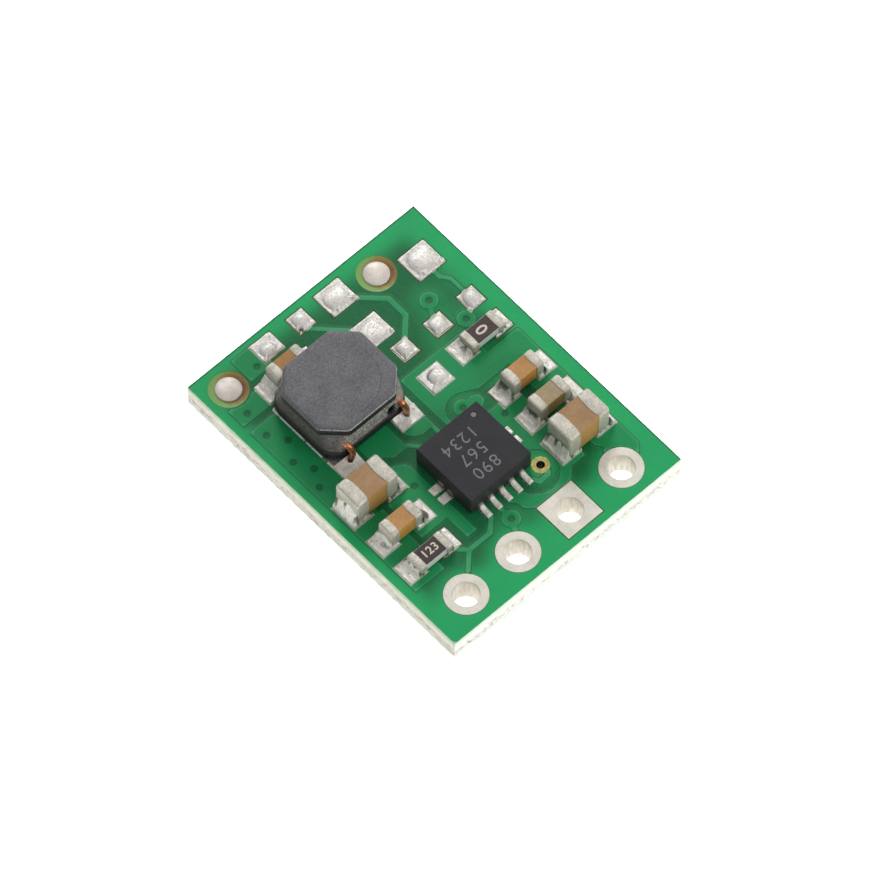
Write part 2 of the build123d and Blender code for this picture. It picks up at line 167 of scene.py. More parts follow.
class Pile:    # points and faces that become one piece
    def __init__(self):
        self.points = []
        self.faces = []
        self.stainAndShade = []    # from 0, clean and unshaded, to 1, at each point: stains, and painted shade

    def grid(self, points, across, closed=False, stainAndShade=None):    # rows of points, each row 'across' long
        start = len(self.points)
        for r in range(len(points) // across - 1):
            for c in range(across if closed else across - 1):
                a, b = start + r * across + c, start + r * across + (c + 1) % across
                self.faces.append((a, b, b + across, a + across))
        self.points += points
        self.stainAndShade += stainAndShade or [0.0] * len(points)

    def disc(self, x, y, radius, profile, count=48):    # a turned profile: (share of the radius, height)
        turns = [2 * math.pi * k / count for k in range(count)]
        self.grid([(x + radius * share * math.cos(t), y + radius * share * math.sin(t), z)
                   for share, z in profile for t in turns], count, closed=True)

    def build(self, name, paint, slot, angle=50):
        mesh = bpy.data.meshes.new(name)
        mesh.from_pydata([(x * mm, y * mm, z * mm) for x, y, z in self.points], [], self.faces)
        stamp(mesh, "stainAndShade", self.stainAndShade)
        closeMesh(mesh)
        return finishPiece(addObject(name, mesh), paint, angle)


def closeMesh(mesh):    # joins rows, closes the hidden undersides
    work = bmesh.new()
    work.from_mesh(mesh)
    bmesh.ops.remove_doubles(work, verts=work.verts, dist=1e-8)
    bmesh.ops.holes_fill(work, edges=[e for e in work.edges if e.is_boundary], sides=0)
    bmesh.ops.recalc_face_normals(work, faces=work.faces)
    work.to_mesh(mesh)
    work.free()


def finishPiece(piece, paint, angle=50):    # smooth up to the angle between faces, or flat at 0
    piece.data.materials.clear()
    piece.data.materials.append(paint.owner)
    if angle:
        piece.data.shade_smooth()
        piece.data.set_sharp_from_angle(angle=math.radians(angle))
    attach(piece, body)
    return piece


def curvePiece(name, curve, paint, place=Matrix(), angle=50):    # a curve or a text, as a mesh piece
    holder = addObject(name + "Curve", curve)
    bpy.context.view_layer.update()
    mesh = bpy.data.meshes.new_from_object(holder.evaluated_get(bpy.context.evaluated_depsgraph_get()))
    bpy.data.objects.remove(holder)
    mesh.transform(place)
    return finishPiece(addObject(name, mesh), paint, angle)


def dress(node, paint, bevel=0.0):    # a CAD node gets its finish, and soft edges
    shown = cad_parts[node]
    shown.data.materials.clear()
    shown.data.materials.append(paint.owner)
    if bevel:
        shown.modifiers.new("weld", "WELD").merge_threshold = 1e-7
        soft = shown.modifiers.new("softEdges", "BEVEL")
        soft.width = bevel * mm
        soft.segments = 2
        soft.limit_method, soft.angle_limit = "ANGLE", math.radians(35)


def boxOf(node):    # low and high corners in millimetres
    low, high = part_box(node)
    return np.array(low) / mm, np.array(high) / mm


def meshOf(node):
    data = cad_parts[node].data
    points = np.array([v.co for v in data.vertices]) / mm
    data.calc_loop_triangles()
    triangles = np.array([t.vertices[:] for t in data.loop_triangles])
    return points, triangles


def solidsOf(node):    # the boxes of a node's separate solids
    points, triangles = meshOf(node)
    keys = {}
    same = np.array([keys.setdefault(tuple(np.round(p, 4)), len(keys)) for p in points])
    group = list(range(len(keys)))

    def root(i):
        while group[i] != i:
            group[i] = group[group[i]]
            i = group[i]
        return i

    for a, b, c in same[triangles]:
        group[root(a)] = root(b)
        group[root(c)] = root(b)
    found = {}
    for i, p in zip(same, points):
        found.setdefault(root(i), []).append(p)
    return [(np.min(g, 0), np.max(g, 0)) for g in found.values()]


def wave(x, y, seed, scale):    # smooth noise from -1 to 1, at arrays of points
    pairs = zip(np.ravel(x), np.ravel(y))
    flat = [noise.noise(Vector((a * scale, b * scale, seed * 7.31))) for a, b in pairs]
    return np.array(flat).reshape(np.shape(x))


# Camera, as the photograph was taken

cameraPlace = dict(azimuth=-42.690, elevation=61.491, distance=500.0, lens=573.1, sensor=36,
                   target=(-0.3154, -0.3929, 1.16), clip=(0.05, 10))


def aimed(name, data, at, back):    # placed in millimetres, with its back towards 'back'
    made = addObject(name, data)
    made.location = at * mm
    made.rotation_mode = "QUATERNION"
    made.rotation_quaternion = (-back).to_track_quat("-Z", "Y")
    return made


def makeCamera():
    data = bpy.data.cameras.new("camera")
    data.lens, data.sensor_width = cameraPlace["lens"], cameraPlace["sensor"]
    data.clip_start, data.clip_end = cameraPlace["clip"]
    around, up = math.radians(cameraPlace["azimuth"]), math.radians(cameraPlace["elevation"])
    back = Vector((math.sin(around) * math.cos(up), -math.cos(around) * math.cos(up), math.sin(up)))
    scene.camera = aimed("camera", data, Vector(cameraPlace["target"]) + back * cameraPlace["distance"], back)


# Floor, lights and the white surround

studio = dict(surroundLow=0.10, surroundHigh=0.62, surroundFrom=(0.50, -0.22, 0.84),
              lights=(("keyLight", 0.20, 90, (105, 150, 150)), ("fillLight", 0.14, 110, (90, -180, 120))),
              floorGlow=0.85, floorRough=0.9, floorSpan=600, floorWhite=(250.5, 250.5, 250.5),
              floorPale=(247, 247, 247))


def makeStudio():    # the surround is brighter over the object than at its left
    surround = Paint("surround", kind="worlds", shader="Background", Color=(1, 1, 1, 1))
    scene.world = surround.owner
    towards = surround.node("VectorMath", {"operation": "DOT_PRODUCT"},
                            {0: surround.node("TexCoord"), 1: studio["surroundFrom"]}, out=1)
    surround.feed("Strength", surround.between(towards, -1, 1, studio["surroundLow"], studio["surroundHigh"]))
    for name, power, size, at in studio["lights"]:
        data = bpy.data.lights.new(name, "AREA")
        data.energy, data.size = power, size * mm
        aimed(name, data, Vector(at), Vector(at))
    paint = Paint("paleFloor", Roughness=studio["floorRough"], Emission_Strength=studio["floorGlow"])
    white = paint.blend(paint.grain(0.02), studio["floorPale"], studio["floorWhite"])
    paint.feed("Base Color", white)
    paint.feed("Emission Color", white)
    half = studio["floorSpan"] / 2 * mm
    mesh = bpy.data.meshes.new("floor")
    corners = [(-half, -half, 0), (half, -half, 0), (half, half, 0), (-half, half, 0)]
    mesh.from_pydata(corners, [], [(0, 1, 2, 3)])
    mesh.materials.append(paint.owner)
    floor = addObject("floor", mesh)
    scene.view_settings.view_transform = "Standard"
    scene.view_settings.look = "None"


makeCamera()
makeStudio()
print("camera and lights placed")


# Finishes

def maskPaint():
    paint = Paint("solderMask", Specular_IOR_Level=0.22)
    copper, under, via, wide = (paint.attribute(label) for label in ("copper", "under", "via", "wide"))
    fine = paint.grain(18.0, 2.0)
    bare = paint.blend(under, (26, 172, 100), (6, 96, 54))
    pour = paint.blend(paint.between(wide, 0.75, 0.35), (20, 144, 83), (82, 182, 126))
    rim = paint.between(copper, 0.10, 0.40) * paint.between(copper, 0.82, 0.52)
    farX = paint.between(paint.axis(0) + fine * 0.04, 5.49, 5.54)
    farY = paint.between(paint.axis(1) + fine * 0.04, 7.06, 7.11)
    dust = paint.between(paint.cells(6.0), 0.045, 0.02)
    green = paint.coats(paint.blend(copper, bare, pour),
                        (rim * 0.85, (3, 66, 37)),
                        (paint.grain(1.1, 2.0), 0.3, 0.8, 0.22, (12, 128, 70)),
                        (fine, 0.35, 0.75, 0.14, (70, 176, 112)),
                        # painted shade round each via's dimple, and a painted highlight at its middle
                        (via, 0.15, 0.45, 0.7, (6, 72, 42)),
                        (via, 0.80, 1.0, 0.5, (70, 150, 104)),
                        ((farX + farY) * 0.75, (14, 66, 48)),
                        (dust * 0.25, (120, 195, 150)))
    return paint.finish(green, (paint.grain(7.0), 0.34, 0.46), paint.grain(9.0) + fine * 0.4, 0.006, 0.5)


def laminatePaint():
    paint = Paint("glassLaminate", Specular_IOR_Level=0.2)
    coarse = paint.grain(2.2, 4.0, 0.6)
    layers = paint.grain(1.6, 4.0, 0.7, stretch=(1, 1, 7))
    flecks = paint.grain(6.0, 4.0, 0.8, stretch=(1, 1, 2))
    rust = paint.between(paint.grain(3.4, 4.0, 0.7, shift=(5, 2, 7)), 0.56, 0.66, 0.0, 0.5)
    across, along, height = (paint.axis(k) for k in (0, 1, 2))
    band = paint.between(height + coarse * 0.6, 0.45, 0.62) * paint.between(height + coarse * 0.6, 0.95, 0.70)
    broken = paint.between(flecks, 0.545, 0.64) * band
    # painted light: the edge facing -y is painted whiter, its flecks and rust washed out
    paintedLitSide = paint.between(paint.facing(1), -0.4, -0.8)
    cream = paint.coats(paint.blend(coarse, (252, 250, 238), (244, 242, 226)),
                        (layers, 0.50, 0.66, 0.55, (206, 200, 184)),
                        (height + coarse * 0.3, 0.95, 1.16, 0.75, (176, 214, 176)),
                        (paintedLitSide * 0.5, (252, 255, 250)),
                        (broken * (0.85 - 0.35 * paintedLitSide), (128, 122, 116)),
                        (rust * (1 - paintedLitSide), (214, 186, 150)))
    olive = paint.coats(paint.blend(paint.between(across, -5.2, 3.2), (162, 176, 122), (124, 118, 74)),
                        (coarse, 0.4, 0.7, 0.35, (158, 128, 84)))
    inner = paint.between(paint.facing(2), 0.5, 0.7) * paint.between(across + along, -12.3, -12.1)
    return paint.finish(paint.blend(inner, cream, olive), (flecks, 0.6, 0.95),
                        layers + broken * -1.2 + flecks * 0.6, 0.08, 0.8)


def copperPaint():    # bare at its edges, tinned on its faces
    paint = Paint("copperFoil", Specular_IOR_Level=0.4)
    level = abs(paint.facing(2))
    copper = paint.blend(paint.grain(3.0), (238, 196, 156), (220, 160, 118))
    silver = paint.blend(paint.grain(6.0, 4.0), (196, 200, 184), (172, 170, 152))
    paint.feed("Metallic", paint.between(level, 0.4, 0.7, 1.0, 0.3))
    return paint.finish(paint.blend(paint.between(level, 0.4, 0.7), copper, silver),
                        (paint.grain(9.0), 0.35, 0.55))


def tinPaint(name, light, dark):
    paint = Paint(name, Metallic=0.25, Specular_IOR_Level=0.4)
    cloud, fine = paint.grain(2.2, 4.0), paint.grain(16.0)
    streaks = paint.grain(9.0, stretch=(1, 1, 0.15))
    # painted light: the bore's wall is painted lighter than the ring, with streaks along it
    litBore = paint.blend(paint.between(streaks, 0.4, 0.6), (244, 241, 232), (220, 215, 203))
    base = paint.coats((cloud, light, dark),
                       (fine, 0.52, 0.7, 0.35, (178, 170, 156)),
                       (paint.axis(2), 1.13, 1.0, 1.0, litBore))
    return paint.finish(base, (cloud, 0.40, 0.56), fine + cloud * 2, 0.006, 0.5)


def solderPaint(name, light, dark, metal):
    paint = Paint(name, Metallic=metal, Specular_IOR_Level=0.4)
    flow, ripples = paint.grain(2.6, 4.0), paint.grain(12.0, 4.0, 0.7)
    base = paint.coats((flow, light, dark),
                       (ripples, 0.52, 0.66, 0.6, (168, 160, 150)),
                       (ripples, 0.44, 0.34, 0.7, (244, 240, 232)),
                       # darker brown in hollows; lighter on ridges, a painted highlight
                       (paint.crook(), 0.47, 0.40, 0.6, (96, 84, 62)),
                       (paint.crook(), 0.53, 0.58, 0.7, (246, 246, 236)),
                       (paint.grain(4.5, 4.0, 0.6, shift=(3, 1, 0)), 0.62, 0.72, 0.4, (120, 112, 92)),
                       # dark brown where a piece is stained, and painted shade where the shapes stamp it
                       (paint.attribute("stainAndShade") + ripples * 0.7, 0.50, 1.05, 0.85, (44, 38, 26)))
    return paint.finish(base, (ripples, 0.32, 0.52), ripples + flow * 2.0, 0.018, 0.7)


def endCapPaint():
    paint = Paint("endCapMetal", Metallic=0.35, Specular_IOR_Level=0.45)
    cloud, grit = paint.grain(3.0, 4.0), paint.grain(13.0, 4.0, 0.75)
    base = paint.coats((cloud, (208, 203, 190), (188, 184, 170)),
                       (grit, 0.54, 0.68, 0.55, (134, 122, 106)),
                       (grit, 0.45, 0.35, 0.5, (244, 240, 226)),
                       (paint.crook(), 0.48, 0.42, 0.7, (96, 84, 66)))
    return paint.finish(base, (cloud, 0.34, 0.52), grit + cloud * 1.5, 0.02, 0.6)


def ceramicPaint(name, light, dark, side):
    paint = Paint(name, Specular_IOR_Level=0.2)
    grit = paint.grain(24.0)
    base = paint.coats((paint.grain(1.8), light, dark),
                       (paint.grain(4.0, 4.0, 0.7), 0.45, 0.65, 0.3, (150, 120, 96)),
                       # painted light: the walls are painted a deeper tone than the top
                       (paint.facing(2), 0.8, 0.4, 0.7, side),
                       (grit, 0.35, 0.7, 0.25, (120, 92, 66)))
    return paint.finish(base, (grit, 0.42, 0.62), grit, 0.004, 0.6)


def ferritePaint():    # grey on top; near black walls as painted shade, a lighter bevel from wear and a painted highlight
    paint = Paint("ferrite", Specular_IOR_Level=0.4)
    cloud, grit = paint.grain(1.2), paint.grain(11.0, 4.0, 0.75)
    up = paint.facing(2)
    low, high = boxOf("inductor_core")
    right, back = (paint.axis(k) - float(low[k] + high[k]) / 2 for k in (0, 1))
    radius = (right * right + back * back) ** 0.5
    arc = paint.between(radius, 1.47, 1.50) * paint.between(radius, 1.54, 1.51)
    arc = arc * paint.between(right - back, 0.6, 1.6) * 0.5
    # painted shade: the walls near black
    shadedWall = paint.blend(paint.between(grit, 0.5, 0.7), (26, 28, 29), (54, 56, 57))
    # a lighter line on the bevel: wear, and a painted highlight strongest on the side facing -y
    worn = paint.between(up, 0.38, 0.50) * paint.between(up, 0.84, 0.70) * paint.between(grit, 0.36, 0.50)
    base = paint.coats((cloud, (108, 107, 109), (90, 89, 92)),
                       (grit, 0.52, 0.64, 0.55, (54, 52, 55)),
                       (paint.grain(17.0, 3.0, 0.8, shift=(4, 9, 2)), 0.54, 0.68, 0.5, (158, 156, 156)),
                       (paint.cells(9.0), 0.16, 0.05, 0.6, (176, 174, 174)),
                       (arc, (56, 54, 56)),
                       (up, 0.95, 0.55, 1.0, shadedWall),
                       (worn * paint.between(paint.facing(1), 0.0, -0.6, 0.22, 0.75), (196, 196, 197)))
    return paint.finish(base, (grit, 0.36, 0.55), grit + cloud, 0.014, 0.7)


hollow = dict(x=-1.07, z=1.97, wide=0.20, tall=0.29, depth=0.40)    # a pit in the coil's resin


def resinPaint():
    paint = Paint("coilResin", Specular_IOR_Level=0.35)
    cloud, grit, fine = paint.grain(2.2, 4.0), paint.grain(9.0, 4.0, 0.7), paint.grain(15.0, 3.0, 0.75)
    across, along, height = (paint.axis(k) for k in (0, 1, 2))
    # painted light: the side facing -y is painted lighter
    side = paint.blend(paint.between(fine, 0.44, 0.56), (200, 197, 192), (106, 103, 100))
    # a paler speckled patch towards +x
    palePatch = paint.between(across, -0.85, -0.70) * paint.between(fine, 0.44, 0.58, 0.0, 0.7)
    offX, offZ = (across - hollow["x"]) * (1 / hollow["wide"]), (height - hollow["z"]) * (1 / hollow["tall"])
    # painted shade filling the pit
    inside = paint.between(offX * offX + offZ * offZ + grit * 0.3, 1.25, 1.0) * paint.between(along, 1.6, 1.5)
    base = paint.coats((cloud, (146, 142, 139), (116, 112, 109)),
                       (grit, 0.52, 0.66, 0.7, (48, 44, 42)),
                       (grit, 0.42, 0.32, 0.5, (196, 192, 188)),
                       (paint.facing(1), -0.6, -0.95, 0.75, side),
                       (palePatch, (186, 174, 166)),
                       # painted shade on the side facing -x
                       (paint.facing(0), -0.45, -0.95, 0.8, (54, 47, 44)),
                       # painted shade: a dark band at the foot of the resin
                       (height + grit * 0.16, 1.90, 1.78, 0.85, (32, 31, 31)),
                       (inside, (3, 3, 3)))
    return paint.finish(base, paint.spread(grit, 0.55, 0.85) + inside * 0.4, grit + cloud * 1.5, 0.05, 0.9)


def mouldPaint():
    paint = Paint("chipMould", Specular_IOR_Level=0.35)
    grit = paint.grain(26.0, 3.0, 0.7)
    base = paint.coats((paint.grain(1.5, 2.0), (44, 44, 47), (37, 37, 41)),
                       (grit, 0.5, 0.75, 0.5, (70, 70, 74)))
    return paint.finish(base, (grit, 0.5, 0.7), grit, 0.006, 0.7)


def plainPaint(name, light, dark, rough, metal=0.0, depth=0.006):
    paint = Paint(name, Metallic=metal)
    grit = paint.grain(12.0)
    return paint.finish(paint.coats((grit, light, dark)), (grit, rough - 0.08, rough + 0.1), grit, depth, 0.6)


def wirePaint():    # enamel, scorched near the solder
    paint = Paint("enamelledCopper", Metallic=0.85, Coat_Weight=0.4, Coat_Roughness=0.2)
    scorch = paint.between(paint.axis(2), 1.35, 1.62)
    bright = paint.blend(paint.between(paint.grain(8.0), 0.35, 0.65), (236, 158, 112), (164, 88, 54))
    return paint.finish(paint.blend(scorch, (70, 34, 20), bright), (paint.grain(12.0), 0.24, 0.4))


def varnishPaint():
    paint = Paint("varnishRing", Specular_IOR_Level=0.35)
    cloud = paint.grain(5.0)
    # browner towards the disc and towards one side
    brown = paint.attribute("stainAndShade") + (cloud - 0.5) * 0.5
    base = paint.coats(paint.blend(paint.between(brown, 0.15, 0.6), (128, 166, 92), (146, 120, 62)),
                       (brown, 0.6, 1.0, 1.0, (112, 76, 36)))
    return paint.finish(base, (cloud, 0.35, 0.55), cloud, 0.006, 0.5)


def giltPaint():    # painted shade inside the bore
    paint = Paint("giltRing", Metallic=0.7)
    cloud = paint.grain(7.0)
    ring = paint.blend(paint.between(cloud, 0.35, 0.65), (186, 180, 112), (146, 142, 80))
    level = paint.between(abs(paint.facing(2)), 0.2, 0.6)
    return paint.finish(paint.blend(level, (52, 40, 18), ring), (cloud, 0.3, 0.5))


mask, varnishFilm, laminate, foil = maskPaint(), varnishPaint(), laminatePaint(), copperPaint()
tin = tinPaint("platedTin", (234, 230, 217), (219, 214, 201))
discTin = tinPaint("discTin", (236, 226, 218), (212, 202, 192))
solder = solderPaint("solder", (230, 227, 223), (208, 204, 198), 0.35)
# a lighter copy of the solder: painted light for joints that sit in shade
paintedLitSolder = solderPaint("paintedLitSolder", (252, 250, 244), (232, 226, 216), 0.25)
endCap, ferrite, resin = endCapPaint(), ferritePaint(), resinPaint()
mould, wire, gilt = mouldPaint(), wirePaint(), giltPaint()
alumina = plainPaint("alumina", (222, 226, 222), (202, 208, 204), 0.55)
glaze = plainPaint("resistorGlaze", (62, 46, 43), (50, 37, 35), 0.32, depth=0.003)
chipInk = plainPaint("chipInk", (134, 130, 130), (108, 104, 106), 0.6)
resistorInk = plainPaint("resistorInk", (226, 214, 200), (206, 194, 180), 0.5)
leadTin = plainPaint("leadTin", (208, 202, 194), (176, 168, 158), 0.3, 0.8)
bigCeramic = ceramicPaint("bigCeramic", (184, 148, 110), (170, 134, 96), (186, 144, 72))
smallCeramic = ceramicPaint("smallCeramic", (208, 158, 102), (192, 142, 86), (206, 150, 66))
greyCeramic = ceramicPaint("greyCeramic", (186, 170, 138), (170, 154, 120), (168, 150, 96))
print("finishes made")


# Solder mask: a fine sheet whose height and colour follow the copper beneath it

maskSheet = dict(step=0.064, stepBelow=0.08, relief=0.011, swell=0.0015, dimple=0.012, dimpleR=0.13,
                 pixel=0.02, blurEdge=0.03, blurWide=0.14, blurUnder=0.30, cornerCut=0.17, ragged=0.02,
                 raggedFar=0.25, lineGap=0.012, holeGap=0.012, squareWide=1.69, discOpening=0.76,
                 viaOpening=0.36)
sameHeight = 1e-3    # heights closer than this are one


def coverage(node, height):    # where a node's face at this height lies, as a raster
    points, triangles = meshOf(node)
    pixel = maskSheet["pixel"]
    low, high = boxOf("laminate")
    field = np.zeros([int((high[k] - low[k]) / pixel) + 1 for k in (0, 1)])
    for corners in points[triangles]:
        (ax, ay), (bx, by), (cx, cy) = (corners[:, :2] - low[:2]) / pixel
        area = (bx - ax) * (cy - ay) - (cx - ax) * (by - ay)
        if abs(corners[:, 2] - height).max() > sameHeight or abs(area) < 1e-9:
            continue
        x0, x1 = int(max(0, min(ax, bx, cx))), int(max(ax, bx, cx)) + 2
        y0, y1 = int(max(0, min(ay, by, cy))), int(max(ay, by, cy)) + 2
        patch = field[x0:x1, y0:y1]
        gx, gy = np.meshgrid(x0 + np.arange(patch.shape[0]), y0 + np.arange(patch.shape[1]), indexing="ij")
        u = ((gx - ax) * (cy - ay) - (cx - ax) * (gy - ay)) / area
        v = ((bx - ax) * (gy - ay) - (gx - ax) * (by - ay)) / area
        patch[(u >= -1e-6) & (v >= -1e-6) & (u + v <= 1 + 1e-6)] = 1
    return field


def blurred(field, reach):
    count = max(1, int(reach / maskSheet["pixel"]))
    wide = 2 * count + 1
    for axis in (0, 1, 0, 1):
        pads = [(count + 1, count) if a == axis else (0, 0) for a in (0, 1)]
        run = np.cumsum(np.pad(field, pads, mode="edge"), axis)
        upper = np.take(run, range(wide, run.shape[axis]), axis)
        field = (upper - np.take(run, range(run.shape[axis] - wide), axis)) / wide
    return field


def sample(field, x, y):
    low = boxOf("laminate")[0]
    u, v = (np.clip((values - low[k]) / maskSheet["pixel"], 0, field.shape[k] - 1.001)
            for k, values in enumerate((x, y)))
    i, j = u.astype(int), v.astype(int)
    fu, fv = u - i, v - j
    return ((field[i, j] * (1 - fu) + field[i + 1, j] * fu) * (1 - fv)
            + (field[i, j + 1] * (1 - fu) + field[i + 1, j + 1] * fu) * fv)


def gridLines(values, step):    # even lines, with the openings' edges among them
    kept = []
    for v in sorted(values):
        if not kept or v - kept[-1] > maskSheet["lineGap"]:
            kept.append(v)
    lines = []
    for a, b in zip(kept, kept[1:]):
        count = max(1, round((b - a) / step))
        lines += [a + (b - a) * i / count for i in range(count)]
    return np.array(lines + [kept[-1]])


def sheetLines(node, outer, step):    # along x and along y
    low, high = boxOf(node)
    points, triangles = meshOf(node)
    flat = np.abs(points[:, 2] - outer) < sameHeight
    found = {low[0], high[0]}, {low[1], high[1]}
    for tri in triangles:
        for a, b in zip(tri, np.roll(tri, -1)):
            if flat[a] and flat[b]:
                span = np.abs(points[b] - points[a])
                for k in (0, 1):
                    if span[k] < 1e-4 and span[1 - k] > 0.2:
                        found[k].add(float(points[a][k]))
    return [gridLines(values, step) for values in found]


def maskedCells(node, outer, sign, cx, cy):    # the cells whose middles lie over the mask
    points, triangles = meshOf(node)
    tree = BVHTree.FromPolygons(points.tolist(), triangles.tolist())
    inside = np.zeros((len(cx), len(cy)), bool)
    for i, x in enumerate(cx):
        for j, y in enumerate(cy):
            hit = tree.ray_cast(Vector((x, y, outer + sign)), Vector((0, 0, -sign)), 3)[0]
            inside[i, j] = hit is not None and abs(hit.z - outer) < sameHeight
    return inside


def roundOpenings(up):    # their middles and radii
    holes = [boxOf(f"plated_hole_{i}") for i in range(1, 5)]
    found = [(low, high, (high[0] - low[0]) / 2 + maskSheet["holeGap"]) for low, high in holes
             if high[0] - low[0] <= maskSheet["squareWide"]]
    found += [(low, high, maskSheet["discOpening"]) for low, high in solidsOf("fiducial_discs") if up]
    found.append((*boxOf("open_via"), maskSheet["viaOpening"]))
    return [(*((low + high) / 2)[:2], radius) for low, high, radius in found]


def onBoundary(cells):    # the grid's corners that touch kept and dropped cells
    padded = np.pad(cells, 1, mode="edge")
    around = np.stack([padded[:-1, :-1], padded[1:, :-1], padded[:-1, 1:], padded[1:, 1:]])
    return around.any(0) & ~around.all(0)


def flatBetween(points, edges):    # triangles of the plane area that closed loops bound
    spots, _, found, origins, _, _ = delaunay_2d_cdt([Vector(p) for p in points], edges, [], 0, 1e-6)
    spots, faces = np.array([tuple(v) for v in spots]), np.array(found)
    middles = spots[faces].mean(1)
    crossed = np.zeros(len(middles), int)
    for a, b in edges:
        (ax, ay), (bx, by) = points[a], points[b]
        if ay != by:
            spans = (middles[:, 1] < ay) != (middles[:, 1] < by)
            crossed += spans & (middles[:, 0] < ax + (middles[:, 1] - ay) * (bx - ax) / (by - ay))
    place = np.array([old[0] if old else -1 for old in origins])
    faces = place[faces[crossed % 2 == 1]]
    return faces[faces.min(1) >= 0]


def cutSheet(node, up, outer, sign, step):    # the grid's points, and which cells are kept
    low, high = boxOf(node)
    lineX, lineY = sheetLines(node, outer, step)
    gx, gy = np.meshgrid(lineX, lineY, indexing="ij")
    cx, cy = ((line[1:] + line[:-1]) / 2 for line in (lineX, lineY))
    inside = maskedCells(node, outer, sign, cx, cy)
    midX, midY = np.meshgrid(cx, cy, indexing="ij")
    for ox, oy, radius in roundOpenings(up):
        away = np.hypot(midX - ox, midY - oy)
        inside = np.where(away < radius + 2 * step, away > radius, inside)
        away = np.maximum(np.hypot(gx - ox, gy - oy), 1e-6)
        rim = onBoundary(inside) & (np.abs(away - radius) < 1.5 * step)
        gx = np.where(rim, ox + (gx - ox) * radius / away, gx)
        gy = np.where(rim, oy + (gy - oy) * radius / away, gy)
    cut = maskSheet["cornerCut"] + low[0] + low[1]    # the near corner's mask has chipped away
    inside &= midX + midY > cut
    rim = onBoundary(inside) & (np.abs(gx + gy - cut) < 1.5 * step)
    shift = np.where(rim, (gx + gy - cut) / 2, 0)
    gx, gy = np.clip(gx - shift, low[0], high[0]), np.clip(gy - shift, low[1], high[1])
    for axis, values, along in ((0, gx, gy), (1, gy, gx)):
        for edge, inward, share in ((low[axis], 1, 1), (high[axis], -1, maskSheet["raggedFar"])):
            at = np.abs(values - edge) < 1e-6
            worn = np.clip(0.5 + wave(along[at], along[at] * 0, 3 + axis, 4.0), 0, 1)
            values[at] += inward * (maskSheet["ragged"] * share * worn)
    return gx, gy, inside


def maskMesh(name, node, foilNode, farFoil, up, step):
    low, high = boxOf(node)
    near, far = (1, 0) if up else (0, 1)
    outer, inner = (high[2], low[2]) if up else (low[2], high[2])
    sign = 1 if up else -1
    copper = coverage(foilNode, boxOf(foilNode)[near][2])
    under = coverage(farFoil, boxOf(farFoil)[far][2])
    fields = dict(copper=blurred(copper, maskSheet["blurEdge"]), wide=blurred(copper, maskSheet["blurWide"]),
                  under=blurred(under, maskSheet["blurUnder"]))
    gx, gy, inside = cutSheet(node, up, outer, sign, step)
    dip = np.zeros_like(gx)
    for viaLow, viaHigh in solidsOf("tented_via_barrels"):
        vx, vy, _ = (viaLow + viaHigh) / 2
        dip += np.exp(-((gx - vx) ** 2 + (gy - vy) ** 2) / maskSheet["dimpleR"] ** 2)
    sunk = maskSheet["relief"] * (1 - sample(fields["copper"], gx, gy)) + maskSheet["dimple"] * dip
    height = outer - sign * sunk - sign * maskSheet["swell"] * (1 + wave(gx, gy, 1, 1.3))

    used = np.zeros(gx.shape, bool)
    for part in (used[:-1, :-1], used[1:, :-1], used[:-1, 1:], used[1:, 1:]):
        part |= inside
    index = -np.ones(gx.shape, int)
    index[used] = np.arange(used.sum())
    verts = np.stack([gx[used], gy[used], height[used]], 1)
    quads = np.stack([index[:-1, :-1][inside], index[1:, :-1][inside], index[1:, 1:][inside],
                      index[:-1, 1:][inside]], 1).tolist()
    edges = {}
    for quad in quads:
        for p, q in zip(quad, quad[1:] + quad[:1]):
            key = (min(p, q), max(p, q))
            edges[key] = None if key in edges else (p, q)
    rim = [pair for pair in edges.values() if pair]    # the edges of one face, each lowered to the inner side
    start = len(verts)
    lowered = {p: k for k, p in enumerate(sorted({p for pair in rim for p in pair}))}
    skirt = verts[sorted(lowered)].copy()
    skirt[:, 2] = inner
    faces = quads + [[q, p, start + lowered[p], start + lowered[q]] for p, q in rim]
    flats = flatBetween(skirt[:, :2].tolist(), [(lowered[p], lowered[q]) for p, q in rim])
    faces += (start + flats[:, ::-1]).tolist()
    if not up:
        faces = [face[::-1] for face in faces]
    points = np.concatenate([verts, skirt])
    mesh = bpy.data.meshes.new(name)
    mesh.from_pydata((points * mm).tolist(), [], faces)
    for label, field in fields.items():
        stamp(mesh, label, sample(field, *points[:, :2].T))
    stamp(mesh, "via", np.concatenate([dip[used], dip[used][sorted(lowered)]]))
    piece = finishPiece(addObject(name, mesh), mask, angle=60)
    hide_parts(node)
    print(name, len(faces), "faces")


maskMesh("top_mask_sheet", "top_solder_mask", "top_foil", "bottom_foil", True, maskSheet["step"])
maskMesh("bottom_mask_sheet", "bottom_solder_mask", "bottom_foil", "top_foil", False, maskSheet["stepBelow"])
dress("laminate", laminate)
for name in ("top_foil", "bottom_foil", "tented_via_barrels"):
    dress(name, foil)
for i in range(1, 5):
    dress(f"plated_hole_{i}", tin, 0.012)
dress("open_via", gilt, 0.008)
print("board dressed")


# Solder

foilTop = boxOf("top_foil")[1][2]
skin = dict(film=0.035, roll=0.05, lip=0.25, corner=0.03, sunk=0.03)    # film: the thinnest solder on a land


def fromMiddle(values, low, high):    # -1 at one side, 1 at the other
    return (values * 2 - low - high) / (high - low)


